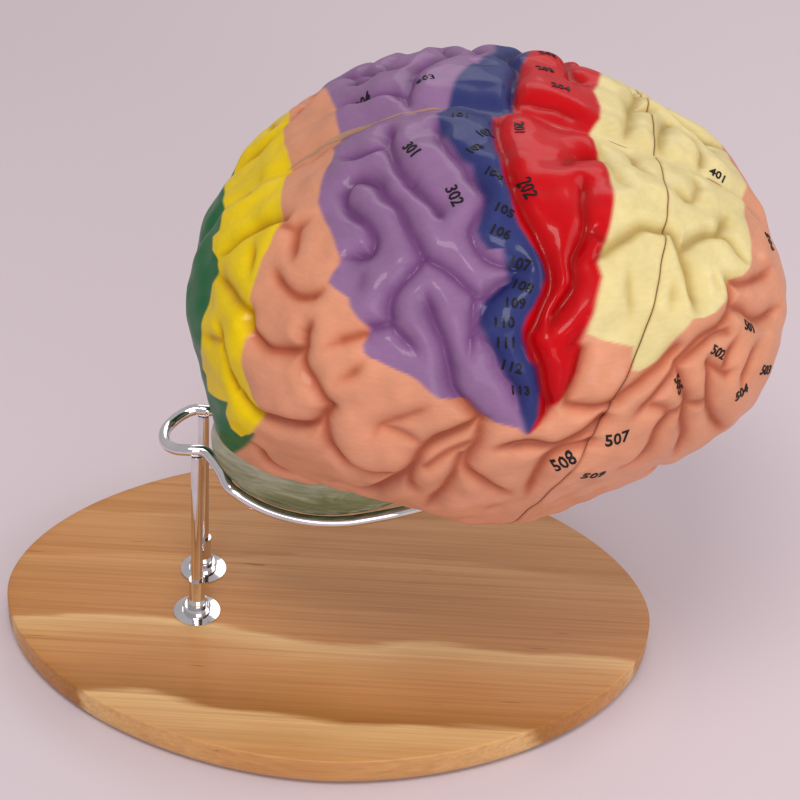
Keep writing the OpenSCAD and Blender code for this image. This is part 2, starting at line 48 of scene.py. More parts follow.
# Brain form, the same sizes as the CAD source, in millimetres
BRAIN_X, BRAIN_Z = 68, 257.8
FRONT, BACK, HALF_WIDTH, UP, DOWN = 160, 166, 145, 100, 98
POWER = 2.15
GAP = 0.6
CRACK_X, CRACK_LEAN = 58, 0.4
FISSURE_DEEP, FISSURE_WIDE = 4, 9
TENT_X, TENT_Z, TENT_FALL = -98, 202.7, 0.42
STEM_TOP = 171.7
SEAT_CLEARANCE = 0.3

# Swellings: angle from the front, angle from the top, spread, height
LOBES = [
    [82, 146, 26, 25],
    [35, 155, 20, -4],
    [28, 110, 18, 5],
    [125, 135, 26, 10],
    [136, 146, 14, 20],
    [152, 40, 32, -22],
    [46, 19, 29, -10],
    [87, 4, 29, -4]
]

# Grooves: depth, half width, then points as angle from the front and angle from the top
GROOVES = [
    [7, 8, [[103, 27], [100, 32], [98, 35], [97, 40]]],
    [7, 8, [[115, 50], [113, 49], [110, 48], [109, 46], [109, 43], [111, 39], [114, 36], [117, 32],
        [117, 27], [114, 24], [110, 26], [108, 30], [105, 34], [103, 40], [101, 45], [100, 48]]],
    [6, 8, [[100, 48], [96, 51], [93, 55], [91, 57], [89, 54], [87, 52]]],
    [6, 8, [[100, 48], [101, 51], [104, 57], [105, 62], [105, 66], [108, 68]]],
    [5, 7, [[105, 66], [102, 70], [99, 74]]],
    [8, 8, [[99, 57], [98, 63], [96, 70], [95, 76], [94, 82], [92, 86], [90, 90]]],
    [6, 7, [[92, 57], [92, 62], [92, 68], [92, 73]]],
    [6, 8, [[110, 53], [110, 58]]],
    [7, 8, [[87, 27], [86, 33], [84, 39], [82, 45], [81, 50], [81, 54], [82, 58], [83, 63], [84, 67],
        [83, 71], [82, 75], [81, 81], [80, 86], [81, 91]]],
    [6, 8, [[74, 22], [75, 31], [75, 39], [77, 46], [77, 53], [80, 61], [81, 66]]],
    [4, 7, [[75, 38], [71, 41]]],
    [4, 7, [[79, 71], [76, 67], [75, 63]]],
    [5, 7, [[93, 26], [91, 32], [92, 37], [93, 41], [92, 45], [90, 48], [88, 49], [84, 50]]],
    [4, 7, [[88, 54], [90, 58], [91, 63], [91, 67], [89, 71], [88, 76], [86, 80], [85, 84], [84, 88]]],
    [6, 8, [[74, 47], [71, 43], [67, 39], [63, 35], [59, 35], [56, 35], [54, 40], [50, 36], [45, 32],
        [41, 30], [38, 20]]],
    [5, 7, [[41, 30], [38, 34], [36, 38], [34, 43]]],
    [6, 8, [[54, 40], [53, 49], [53, 56], [53, 62]]],
    [3, 9, [[67, 47], [67, 55], [67, 62]]],
    [3, 9, [[57, 50], [59, 61]]],
    [4, 9, [[47, 48], [46, 55]]],
    [4, 7, [[133, 39], [129, 40], [124, 38]]],
    [5, 7, [[129, 40], [128, 47], [126, 53]]],
    [6, 8, [[132, 55], [129, 60], [125, 63], [120, 62], [117, 59]]],
    [7, 8, [[137, 76], [135, 82], [130, 84], [125, 82], [121, 79], [121, 74], [119, 69]]],
    [6, 8, [[121, 79], [120, 84], [117, 88], [114, 93]]],
    [7, 8, [[134, 110], [129, 111], [123, 107], [117, 102], [115, 97], [114, 93]]],
    [6, 8, [[115, 97], [114, 103], [112, 111], [109, 116], [105, 117], [101, 115]]],
    [5, 7, [[116, 76], [113, 73], [109, 70]]],
    [4, 7, [[113, 85], [110, 81], [108, 77]]],
    [3, 7, [[106, 101], [105, 96], [102, 92], [99, 89], [97, 86]]],
    [3, 7, [[104, 96], [100, 97], [98, 99]]],
    [7, 8, [[111, 133], [105, 130], [102, 121], [99, 110], [98, 103], [96, 98], [93, 94], [90, 90]]],
    [5, 7, [[99, 110], [99, 118], [97, 124]]],
    [6, 8, [[90, 90], [90, 97], [91, 103], [91, 108], [89, 113], [87, 116], [84, 118]]],
    [4, 7, [[97, 108], [94, 102], [91, 98]]],
    [5, 7, [[96, 133], [94, 123], [93, 113], [92, 103]]],
    [4, 7, [[88, 130], [86, 125]]],
    [7, 8, [[88, 98], [86, 98], [83, 97], [78, 98], [74, 95], [70, 90]]],
    [5, 7, [[75, 70], [76, 77], [77, 84], [76, 86], [72, 87], [69, 86]]],
    [6, 8, [[82, 121], [81, 114], [80, 106], [78, 100], [72, 97]]],
    [5, 7, [[68, 85], [66, 82], [61, 77], [56, 71]]],
    [5, 7, [[65, 91], [62, 87], [59, 82], [56, 77], [51, 72], [47, 69], [43, 69]]],
    [4, 7, [[61, 88], [58, 90], [57, 92], [54, 91]]],
    [5, 7, [[57, 93], [59, 99], [60, 106], [62, 111], [66, 115]]],
    [6, 8, [[56, 77], [55, 81], [54, 86], [53, 90], [53, 96], [52, 106], [53, 119]]],
    [6, 8, [[48, 79], [47, 91], [45, 104], [42, 117]]],
    [5, 7, [[48, 79], [45, 83], [42, 87]]],
    [5, 7, [[43, 83], [42, 77], [40, 71]]],
    [5, 8, [[38, 98], [37, 92], [35, 85], [32, 79]]],
    [5, 8, [[42, 50], [37, 51], [31, 49], [26, 46], [22, 41]]],
    [5, 8, [[42, 60], [37, 62], [33, 67], [28, 70], [20, 68]]],
    [5, 7, [[42, 50], [42, 60], [45, 66], [51, 69], [56, 76]]],
    [4, 7, [[53, 91], [48, 93]]],
    [5, 8, [[133, 36], [140, 35], [147, 37], [153, 46], [159, 58]]],
    [4, 7, [[143, 45], [141, 53], [139, 61]]],
    [5, 8, [[156, 69], [150, 70], [142, 73], [137, 75]]],
    [5, 8, [[147, 87], [143, 96], [140, 104], [136, 109]]],
    [4, 7, [[152, 106], [145, 95]]],
    [5, 8, [[128, 128], [120, 140], [105, 148], [90, 150], [78, 148]]],
    [5, 8, [[60, 125], [50, 140], [38, 150]]]
]
RIGHT_TOP = [
    [7, 8, [[108, 5], [108, 13], [106, 21], [103, 27]]],
    [7, 8, [[88, 1], [89, 6], [88, 17], [87, 27]]],
    [5, 7, [[99, 6], [98, 15], [95, 21], [93, 26]]],
    [5, 7, [[121, 14], [117, 15], [113, 16], [109, 15]]],
    [5, 7, [[61, 1], [60, 7], [60, 11], [57, 14]]],
    [3, 9, [[68, 3], [67, 14], [66, 21], [64, 24]]],
    [4, 7, [[45, 5], [45, 12], [48, 20], [51, 19], [52, 16]]],
    [5, 7, [[78, 20], [76, 15], [73, 12], [69, 11]]],
    [4, 7, [[143, 1], [135, 4], [125, 4]]],
    [4, 8, [[152, 2], [154, 8], [160, 2]]]
]
LEFT_TOP = [
    [6, 8, [[106, 6], [108, 9], [114, 12], [120, 16], [122, 12]]],
    [7, 8, [[104, 1], [105, 5], [104, 10], [103, 16], [99, 22], [96, 28], [98, 35]]],
    [5, 7, [[119, 42], [113, 28], [108, 23], [104, 20]]],
    [5, 8, [[93, 20], [90, 18]]],
    [7, 8, [[86, 1], [86, 12], [85, 20], [87, 27]]],
    [5, 7, [[76, 31], [73, 25], [70, 20]]],
    [3, 7, [[85, 4], [78, 5], [71, 4]]],
    [5, 7, [[60, 38], [59, 28], [60, 20], [60, 10], [61, 2]]],
    [4, 7, [[60, 21], [57, 23], [53, 28]]],
    [5, 7, [[52, 1], [52, 10], [51, 20], [49, 24], [45, 22], [43, 18], [41, 11], [42, 1]]],
    [4, 8, [[151, 10], [152, 2]]]
]
# Cerebellum: middle, then half sizes
LEAF_MIDDLE, LEAF_HALF = np.array((-6, -30, 156.3)), np.array((62, 35, 43))
# Loop: rear bend and leg seats, angles along the cerebellum's underside, and front
LOOP_REAR = [
    [-97, 0, 132.5], [-95, -8.93, 132.5], [-89, -15.96, 134.5], [-82, -19, 136.5], [-73, -19, 136.5],
    [-67, -23.94, 134], [-62, -30.97, 131.5]
]
LOOP_HUG, LOOP_OUT, LOOP_RISE = [-52, -44, -36, -28, -20, -12, -4, 4, 12, 20], 30, 3.5
LOOP_FRONT = [
    [34, -46, 122.3], [52, -45, 128.8], [70, -43, 135.3], [86, -40, 139.8], [97, -32, 142.3], [103, -22, 143.2],
    [108, -11, 143.8], [109, 0, 143.8]
]

# Paint borders as angle around the brain (minus is the left half) and angle from the front
CREAM_FRONT = [(-60, 48), (-16, 27), (0, 28.5), (11, 31), (18, 32), (31, 31.5), (39, 32), (44, 34), (48, 37),
    (49.5, 41), (53, 42.5), (58, 44.5), (61.5, 48), (62.5, 50.5), (63, 54), (68, 57), (72, 58.5), (74.5, 60.5),
    (76, 62.5), (77, 65), (77.5, 90)]
CREAM_REAR = [(-70, 60), (-42, 68), (-18, 69.5), (-12, 67.5), (-1, 69.5), (2, 70), (8, 69), (20, 68.5), (31, 69.5),
    (40, 71), (47, 73), (51, 72.5), (61, 74), (65.5, 74.5), (66.5, 73), (67.5, 71.5), (68.5, 68.5), (69.5, 66),
    (76, 66), (77, 64)]
RED_FRONT = [(-93, 83), (-42, 68), (-24, 68.5), (-18.5, 69.5), (-12, 67.5), (-6, 67.5), (-1, 69.5), (2, 70), (8, 69),
    (12.5, 68.5), (19.5, 68.5), (31, 69.5), (40, 71), (47.5, 73), (51, 72.5), (56.5, 73.5), (61, 74), (64.5, 75),
    (67.5, 75.5), (70, 75), (76, 75.5), (79.5, 76.5), (83, 77.5), (86, 79), (88.5, 80), (93, 83)]
RED_REAR = [(-93, 83), (-30, 83), (-22, 84.5), (-15.5, 85), (-9, 85.5), (-1, 86), (2, 89.5), (12.5, 89.5), (19, 89),
    (25, 88.5), (30, 87.5), (35.5, 87), (39.5, 86), (43, 84.5), (45.5, 83), (48.5, 82), (51, 81.5), (52.5, 82),
    (55.5, 82.5), (59, 83.5), (61.5, 84.5), (64, 85), (66.5, 85), (69, 84.5), (72, 84), (74.5, 82.5), (77.5, 82),
    (81, 81.5), (88.5, 81.5), (93, 83)]
BLUE_REAR = [(-93, 83), (-30, 89), (-20, 91.5), (-14, 94), (-9.5, 95.5), (-4, 96.5), (0, 97), (4, 99), (8, 98.5),
    (11.5, 98), (16, 96.5), (20.5, 94.5), (23, 93), (28, 92), (31.5, 91), (34, 91), (41, 92), (43, 91.5), (45, 90.5),
    (45.5, 88.5), (48.5, 88), (51.5, 87.5), (53, 87.5), (54, 88.5), (56, 89.5), (58, 90.5), (61.5, 91), (64, 91),
    (68, 90), (71, 89), (74.5, 88), (77.5, 87), (79.5, 86), (83, 85), (87, 84.5), (93, 83)]
PURPLE_REAR = [(-93, 83), (-60, 115), (-45, 124), (-21, 123.5), (-11, 122.5), (-1, 122), (5, 124), (10, 122),
    (14, 122.5), (17, 123.5), (26, 123.5), (32, 123), (38, 120.5), (41.5, 118.5), (45, 117), (50, 115), (52, 115),
    (55, 116), (57.5, 116.5), (59, 115), (61, 112), (63, 111.5), (66, 110), (68, 108.5), (71, 108.5), (73, 109),
    (75, 108.5), (76, 107.5), (76.5, 106), (77.5, 104), (79, 101), (80, 99.5), (83, 97), (84, 96), (84.5, 94.5),
    (85, 92), (89, 90), (90, 87), (91, 84.5), (93, 83)]
YELLOW_FRONT = [(-133, 130), (-50, 136), (-29, 139.5), (-18, 141), (-8, 140), (2, 140), (13, 139), (21, 138),
    (29, 136.5), (38, 134), (46, 134.5), (54, 136), (64, 136), (70, 136.5), (77, 135.5), (85.5, 136), (93, 135),
    (99, 133.5), (103.5, 130.5), (105, 128.8), (107.5, 128), (112.5, 127.5), (121, 128), (130, 129), (138, 129)]
YELLOW_REAR = [(-133, 130), (-60, 160), (-14, 166), (4, 163.5), (34, 163), (39.5, 166), (54, 162.5), (60, 157),
    (66, 155), (77, 157), (85, 156), (95, 154.5), (103, 152.5), (116, 150.5), (126, 150.5), (131, 148.5),
    (134, 145), (138, 140)]
# Lower border of the yellow, by angle from the front, and the green's own front border
GREEN_TOP = [(120, 121), (128, 121), (129.5, 129.5), (132, 130), (135, 125), (136, 118), (139.5, 127.5), (142, 136),
    (145.5, 130), (149, 134), (180, 134)]
GREEN_FRONT = 127.5

# Plain numbers: text, angle from the front, angle around (minus is the left half), turn, height
NUMBERS = [
    ("101", 95, 5, 177, 5), ("102", 91, 11, -135, 5), ("103", 92.5, 18, -135, 5), ("104", 90, 26, 149, 5),
    ("105", 88.5, 36, 160, 5), ("106", 89, 41.5, 159, 5), ("107", 86, 48.5, 165, 5), ("108", 85.5, 54, 157, 5),
    ("109", 86.5, 58.5, 178, 5), ("110", 88, 63.5, -177, 5), ("111", 87.5, 68.5, -177, 5), ("112", 86.5, 74.5, 172, 5),
    ("113", 84.8, 81, -170, 4.5), ("201", 85.5, 7, 91, 5), ("202", 85, 29, 106, 6.5), ("203", 80, -21, -159, 5),
    ("204", 77, -12.5, -174, 5), ("205", 79.5, -31, -165, 5), ("301", 103, 18.5, 124, 6), ("302", 95.5, 32.5, 113, 6),
    ("303", 101, -9, -169, 5), ("304", 116, -14, 170, 5), ("401", 37, -3, 172, 5), ("501", 36, 70, 155, 5),
    ("502", 46, 76, 148, 5), ("503", 30, 96, 152, 5), ("504", 38, 98, -175, 5), ("505", 55.5, 83.5, 111, 5),
    ("506", 22, 24, 102, 5), ("507", 67.5, 96, -174, 6), ("508", 76.5, 103, -140, 6), ("509", 71, 110, 172, 6)
]

FLESH = (0.808, 0.552, 0.430)
CREAM = (0.835, 0.768, 0.545)
RED = (0.720, 0.000, 0.045)
BLUE = (0.170, 0.195, 0.395)
PURPLE = (0.525, 0.390, 0.540)
YELLOW = (0.875, 0.750, 0.030)
GREEN = (0.120, 0.385, 0.220)


# Growth bands of the board: place along Y in metres and colour
BOARD_HALF = 0.145
WOOD_DARK, WOOD_MID = (0.625, 0.410, 0.195), (0.715, 0.490, 0.280)
WOOD_WARM, WOOD_LIGHT = (0.765, 0.555, 0.345), (0.835, 0.670, 0.460)
WOOD_BANDS = [
    (-0.145, WOOD_MID), (-0.126, WOOD_WARM), (-0.096, WOOD_LIGHT), (-0.0915, WOOD_DARK), (-0.070, WOOD_MID),
    (-0.050, WOOD_WARM), (-0.036, WOOD_LIGHT), (-0.0325, WOOD_MID), (0.000, WOOD_MID), (0.028, WOOD_WARM),
    (0.032, WOOD_MID), (0.075, WOOD_WARM), (0.079, WOOD_MID), (0.145, WOOD_WARM)]


def linear(c):
    c = np.asarray(c, float)
    return np.where(c <= 0.04045, c / 12.92, ((c + 0.055) / 1.055) ** 2.4)


def spow(a, e):
    return np.sign(a) * np.abs(a) ** e


def smooth_form(t, f):
    """Smooth form of the brain on its positive side, from its middle; t and f in degrees."""
    t, f = np.broadcast_arrays(np.radians(t), np.radians(f))
    e = 2 / POWER
    along, out = spow(np.cos(t), e), np.abs(np.sin(t)) ** e
    p = np.stack([
        np.where(along > 0, FRONT, BACK) * along,
        HALF_WIDTH * out * np.abs(np.sin(f)) ** e,
        np.where(np.cos(f) > 0, UP, DOWN) * out * spow(np.cos(f), e),
    ], -1)
    d = p / np.linalg.norm(p, axis=-1, keepdims=True)
    rise = 0
    for lt, lf, spread, high in LOBES:
        lt, lf, spread = np.radians((lt, lf, spread))
        for s in (-1, 1):
            c = np.array((math.cos(lt), s * math.sin(lt) * math.sin(lf), math.sin(lt) * math.cos(lf)))
            rise = rise + high * np.exp(-(np.arccos(np.clip(d @ c, -1, 1)) / spread) ** 2)
    return p + d * np.asarray(rise)[..., None]


def curve_points(points, step=1.2):
    """Catmull-Rom curve through points, sampled about every step degrees."""
    p = np.array(points, float)
    p = np.vstack([2 * p[0] - p[1], p, 2 * p[-1] - p[-2]])
    out = []
    for i in range(1, len(p) - 2):
        n = max(2, int(np.linalg.norm(p[i + 1] - p[i]) / step))
        for k in np.arange(n) / n:
            a, b, c, d = p[i - 1:i + 3]
            out.append(0.5 * (2 * b + (c - a) * k + (2 * a - 5 * b + 4 * c - d) * k * k
                              + (3 * b - a - 3 * c + d) * k ** 3))
    out.append(p[-2])
    return np.array(out)


def prepared(grooves):
    """Each groove as sampled points on the smooth form, with its depth at each point."""
    made = []
    for deep, wide, points in grooves:
        c = curve_points(points)
        made.append([deep, wide, c, smooth_form(c[:, 0], c[:, 1])])
    lines = []
    for i, (deep, wide, c, xyz) in enumerate(made):
        run = np.concatenate([[0], np.cumsum(np.linalg.norm(np.diff(xyz, axis=0), axis=1))])
        share = np.ones(len(c))
        for end, distance in ((0, run), (-1, run[-1] - run)):
            meets = any(np.linalg.norm(m[3] - xyz[end], axis=1).min() < 7 for j, m in enumerate(made) if j != i)
            if not meets:
                share = share * np.clip(0.15 + distance / 11, 0, 1)
        lines.append((deep * share, c, xyz))
    return lines


def carving(lines, t, f, xyz):
    """Depth of the carved valleys at each point, and how close it is to a valley's floor, as the weight of the painted
    shade there.
    """
    valley, floor = np.zeros(t.shape), np.zeros(t.shape)
    for deep, c, line in lines:
        low, high = c.min(0) - 11, c.max(0) + 11
        shrink = 1 / np.maximum(np.sin(np.radians(t)), 0.15)
        near = (t > low[0]) & (t < high[0]) & (f > low[1] - 9 * shrink) & (f < high[1] + 9 * shrink)
        index = np.nonzero(near.ravel())[0]
        if not len(index):
            continue
        p = xyz.reshape(-1, 3)[index]
        best, depth = np.full(len(p), 1e9), np.zeros(len(p))
        for k in range(len(line) - 1):
            a, ab = line[k], line[k + 1] - line[k]
            w = np.clip((p - a) @ ab / max(ab @ ab, 1e-9), 0, 1)
            d = np.linalg.norm(p - a - w[:, None] * ab, axis=1)
            nearer = d < best
            best = np.where(nearer, d, best)
            depth = np.where(nearer, deep[k] + w * (deep[k + 1] - deep[k]), depth)
        cut = 0.84 * depth * np.exp(-(best / 4.3) ** 1.55)
        valley.ravel()[index] = (valley.ravel()[index] ** 4 + cut ** 4) ** 0.25
        # Painted shade weight: strongest on the valley's floor and in deep valleys.
        painted_shade = np.minimum(depth / 5, 1) * np.exp(-(best / 2.1) ** 2)
        floor.ravel()[index] = np.maximum(floor.ravel()[index], painted_shade)
    return valley, floor


def swell(xyz, seed=0):
    """Gentle hand-modelled unevenness, a few tenths of a millimetre, from fixed sine waves."""
    rng = np.random.default_rng(7 + seed)
    total = 0
    for wave in (60, 38, 24, 15):
        for _ in range(5):
            k = rng.normal(size=3)
            k *= 2 * math.pi / wave / np.linalg.norm(k)
            total = total + wave ** 0.8 * np.sin(xyz @ k + rng.uniform(0, 6.28))
    return total * 0.017


def tent(x):
    return TENT_Z - TENT_FALL * (x - TENT_X)


def smoothstep(low, high, x):
    k = np.clip((x - low) / (high - low), 0, 1)
    return k * k * (3 - 2 * k)


def paint(t, f, side):
    """Linear paint colour of each point of the outer surface, before the shading in the creases."""
    around = f if side < 0 else -f

    def past(line):
        knots = sorted(line)
        if side > 0:
            knots = sorted([p for p in line if -45 <= p[0] <= 0] + [(-p[0], p[1]) for p in line if p[0] > 45])
        return soft(t - np.interp(around, [k[0] for k in knots], [k[1] for k in knots]))

    def soft(distance):
        return smoothstep(-0.6, 0.6, distance)

    colour = np.empty(t.shape + (3,))
    colour[:] = linear(FLESH)
    coded = soft(93 - f)
    bottom = soft(f - np.interp(t, *zip(*GREEN_TOP)))
    for paint_colour, share in (
        (CREAM, past(CREAM_FRONT) * (1 - past(CREAM_REAR)) * soft(77 - f)),
        (RED, coded * past(RED_FRONT)), (BLUE, coded * past(RED_REAR)), (PURPLE, coded * past(BLUE_REAR)),
        (FLESH, past(PURPLE_REAR)),
        (YELLOW, past(YELLOW_FRONT) * (1 - bottom)), (GREEN, past(YELLOW_FRONT) * (1 - bottom) * past(YELLOW_REAR)),
        (GREEN, bottom * soft(t - GREEN_FRONT)),
    ):
        colour += (linear(paint_colour) - colour) * share[..., None]
    return colour


def ahead(p):
    return p[..., 0] - CRACK_X - CRACK_LEAN * p[..., 2]


def crack_angles(f):
    low, high = np.full(f.shape, 5.0), np.full(f.shape, 150.0)
    for _ in range(30):
        mid = (low + high) / 2
        further = ahead(smooth_form(mid, f)) > 0
        low, high = np.where(further, mid, low), np.where(further, high, mid)
    return mid


def new_object(name, verts, faces, materials, slots=None, colours=None, smooth=None):
    mesh = bpy.data.meshes.new(name)
    verts = np.asarray(verts, np.float32)
    counts = np.array([len(x) for x in faces], np.int32)
    loops = np.fromiter((v for x in faces for v in x), np.int32, counts.sum())
    mesh.vertices.add(len(verts))
    mesh.vertices.foreach_set("co", verts.ravel())
    mesh.loops.add(len(loops))
    mesh.loops.foreach_set("vertex_index", loops)
    mesh.polygons.add(len(counts))
    mesh.polygons.foreach_set("loop_start", np.concatenate([[0], np.cumsum(counts)[:-1]]).astype(np.int32))
    for m in materials:
        mesh.materials.append(m)
    if slots is not None:
        mesh.polygons.foreach_set("material_index", np.asarray(slots, np.int32))
    mesh.polygons.foreach_set("use_smooth", np.ones(len(counts), bool) if smooth is None else smooth)
    if colours is not None:
        attribute = mesh.color_attributes.new("paint", "FLOAT_COLOR", "POINT")
        attribute.data.foreach_set("color", np.asarray(colours, np.float32).ravel())
    mesh.update(calc_edges=True)
    mesh.validate()
    o = bpy.data.objects.new(name, mesh)
    bpy.context.scene.collection.objects.link(o)
    return o


# Materials

def material(name):
    m = bpy.data.materials.new(name)
    m.use_nodes = True
    tree = m.node_tree
    return m, tree, tree.nodes["Principled BSDF"]


def node(tree, kind, inputs=None, **settings):
    n = tree.nodes.new(kind)
    for k, v in settings.items():
        setattr(n, k, v)
    for k, v in (inputs or {}).items():
        if isinstance(v, bpy.types.NodeSocket):
            tree.links.new(v, n.inputs[k])
        else:
            n.inputs[k].default_value = v
    return n


def rgba(c):
    return (*linear(c), 1)


def place(tree, scale=(1, 1, 1)):
    c = node(tree, "ShaderNodeTexCoord").outputs["Object"]
    return node(tree, "ShaderNodeMapping", {"Vector": c, "Scale": scale}).outputs[0]


def noise(tree, vector, scale, detail=4, rough=0.5, distortion=0):
    return node(tree, "ShaderNodeTexNoise", {
        "Vector": vector, "Scale": scale, "Detail": detail, "Roughness": rough, "Distortion": distortion,
    }).outputs[0]


def remap(tree, value, low, high, low_in=0.3, high_in=0.7):
    return node(tree, "ShaderNodeMapRange", {
        "Value": value, "From Min": low_in, "From Max": high_in, "To Min": low, "To Max": high,
    }).outputs[0]


def math_node(tree, kind, a, b=0.0):
    return node(tree, "ShaderNodeMath", {0: a, 1: b}, operation=kind).outputs[0]


def mix(tree, factor, a, b, kind="MIX"):
    n = node(tree, "ShaderNodeMix", data_type="RGBA", blend_type=kind)
    for k, v in ((0, factor), (6, a), (7, b)):
        if isinstance(v, bpy.types.NodeSocket):
            tree.links.new(v, n.inputs[k])
        else:
            n.inputs[k].default_value = v
    return n.outputs[2]


def ramp(tree, value, stops):
    n = node(tree, "ShaderNodeValToRGB", {"Fac": value})
    e = n.color_ramp.elements
    while len(e) < len(stops):
        e.new(0.5)
    for item, (at, c) in zip(e, stops):
        item.position = at
        item.color = c
    return n.outputs[0]


def bump(tree, shader, height, distance, strength=1.0):
    b = node(tree, "ShaderNodeBump", {"Height": height, "Distance": distance, "Strength": strength})
    tree.links.new(b.outputs[0], shader.inputs["Normal"])


def varnish(shader, coat=0.17, coat_rough=0.1, specular=0.07):
    shader.inputs["Coat Weight"].default_value = coat
    shader.inputs["Coat Roughness"].default_value = coat_rough
    shader.inputs["Specular IOR Level"].default_value = specular


def painted(name, colour=None):
    """Hand-brushed paint under gloss varnish: faint mottling and a slight ripple; the paint attribute brings in the
    painted shade of the hollows.
    """
    m, tree, shader = material(name)
    at = place(tree)
    if colour is None:
        base = node(tree, "ShaderNodeAttribute", attribute_name="paint").outputs["Color"]
    else:
        base = node(tree, "ShaderNodeRGB").outputs[0]
        base.default_value = rgba(colour)
    mottle = remap(tree, noise(tree, at, 38, 5, 0.6), 0.9, 1.08)
    brush = remap(tree, noise(tree, place(tree, (1, 1, 4)), 190, 3), 0.965, 1.03)
    shade = math_node(tree, "MULTIPLY", mottle, brush)
    grey = node(tree, "ShaderNodeCombineColor", {0: shade, 1: shade, 2: shade}).outputs[0]
    tree.links.new(mix(tree, 1.0, base, grey, "MULTIPLY"), shader.inputs["Base Color"])
    tree.links.new(remap(tree, noise(tree, at, 75, 4), 0.36, 0.5), shader.inputs["Roughness"])
    varnish(shader)
    fine = noise(tree, at, 420, 3)
    wide = noise(tree, at, 90, 2)
    bump(tree, shader, math_node(tree, "ADD", wide, math_node(tree, "MULTIPLY", fine, 0.35)), 0.00035, 0.6)
    return m


def metal(name, colour, rough, streak):
    m, tree, shader = material(name)
    at = place(tree)
    shader.inputs["Metallic"].default_value = 1.0
    tone = noise(tree, at, 60, 4)
    tree.links.new(ramp(tree, tone, [(0.3, rgba([c * 0.93 for c in colour])), (0.7, rgba(colour))]),
                   shader.inputs["Base Color"])
    scuff = noise(tree, place(tree, streak), 210, 5, 0.7)
    tree.links.new(remap(tree, scuff, rough * 0.7, rough * 1.7), shader.inputs["Roughness"])
    bump(tree, shader, noise(tree, at, 130, 2), 0.00012, 0.35)
    return m


def wood():
    """Flat-sawn softwood under clear lacquer: wide growth bands with one sharp, wandering edge each, along X."""
    m, tree, shader = material("lacquered_wood")
    coords = node(tree, "ShaderNodeTexCoord").outputs["Object"]
    y = node(tree, "ShaderNodeSeparateXYZ", {0: coords}).outputs[1]

    def grain(scale, detail, rough=0.55, distortion=0):
        return noise(tree, place(tree, scale), 1.0, detail, rough, distortion)

    def wander(scale, detail, reach):
        return math_node(tree, "MULTIPLY", math_node(tree, "SUBTRACT", grain(scale, detail), 0.5), reach)

    line = math_node(tree, "ADD", y, wander((6.5, 5, 5), 1, 0.062))
    line = math_node(tree, "ADD", line, wander((24, 150, 150), 3, 0.008))
    c = ramp(tree, remap(tree, line, 0, 1, -BOARD_HALF, BOARD_HALF), [
        ((at + BOARD_HALF) / (2 * BOARD_HALF), rgba(tone)) for at, tone in WOOD_BANDS])
    lines = grain((2.2, 210, 210), 3, 0.6, 0.3)
    c = mix(tree, 1.0, c, ramp(tree, lines, [
        (0.3, (0.84, 0.77, 0.68, 1)), (0.42, (0.96, 0.94, 0.91, 1)), (0.7, (1.04, 1.05, 1.06, 1))]), "MULTIPLY")
    fibre = grain((9, 620, 620), 4, 0.6)
    c = mix(tree, 1.0, c, ramp(tree, fibre, [(0.3, (0.86, 0.83, 0.79, 1)), (0.68, (1.05, 1.05, 1.05, 1))]), "MULTIPLY")
    flecks = grain((26, 330, 330), 1)
    c = mix(tree, 1.0, c, ramp(tree, flecks, [(0.22, (0.70, 0.60, 0.50, 1)), (0.26, (1, 1, 1, 1))]), "MULTIPLY")
    tree.links.new(c, shader.inputs["Base Color"])
    tree.links.new(remap(tree, fibre, 0.45, 0.32), shader.inputs["Roughness"])
    varnish(shader, 0.1, 0.25, 0.2)
    bump(tree, shader, fibre, 0.0002, 0.3)
    return m


def cerebellum_paint():
    m, tree, shader = material("cerebellum_paint")
    at = place(tree)
    z = node(tree, "ShaderNodeSeparateXYZ", {0: node(tree, "ShaderNodeTexCoord").outputs["Object"]}).outputs[2]
    blotch = noise(tree, place(tree, (1, 1, 2.2)), 34, 5, 0.62, 0.8)
    height = math_node(tree, "ADD", remap(tree, z, 0, 1, 0.118, 0.165),
                       math_node(tree, "MULTIPLY", math_node(tree, "SUBTRACT", blotch, 0.5), 1.3))
    c = ramp(tree, height, [
        (0.05, rgba((0.37, 0.40, 0.27))), (0.38, rgba((0.47, 0.49, 0.35))),
        (0.7, rgba((0.62, 0.62, 0.52))), (0.95, rgba((0.70, 0.69, 0.61)))])
    streak = noise(tree, place(tree, (6, 6, 50)), 9, 4, 0.6)
    c = mix(tree, 1.0, c, ramp(tree, streak, [(0.34, (0.72, 0.74, 0.68, 1)), (0.62, (1.04, 1.04, 1.03, 1))]),
            "MULTIPLY")
    tree.links.new(c, shader.inputs["Base Color"])
    tree.links.new(remap(tree, noise(tree, at, 80, 4), 0.28, 0.45), shader.inputs["Roughness"])
    varnish(shader)
    bump(tree, shader, noise(tree, at, 160, 4), 0.0005, 0.5)
    return m


brain_paint = painted("brain_paint")
cut_paint = painted("cut_face_paint", (0.80, 0.66, 0.54))
stem_paint = painted("stem_paint", (0.86, 0.78, 0.62))
number_ink = painted("number_ink", (0.11, 0.10, 0.11))
leaf_paint = cerebellum_paint()
chrome = metal("chrome_plate", (0.90, 0.89, 0.90), 0.07, (1, 1, 1))
steel = metal("turned_steel", (0.62, 0.62, 0.64), 0.3, (1, 9, 9))
liner = metal("socket_liner", (0.55, 0.47, 0.33), 0.35, (9, 1, 1))
board_wood = wood()


# Brain sections

FRONT_PINS = [(45, 40), (60, -20)]
PIN_R, PIN_HALF = 4.08, 22


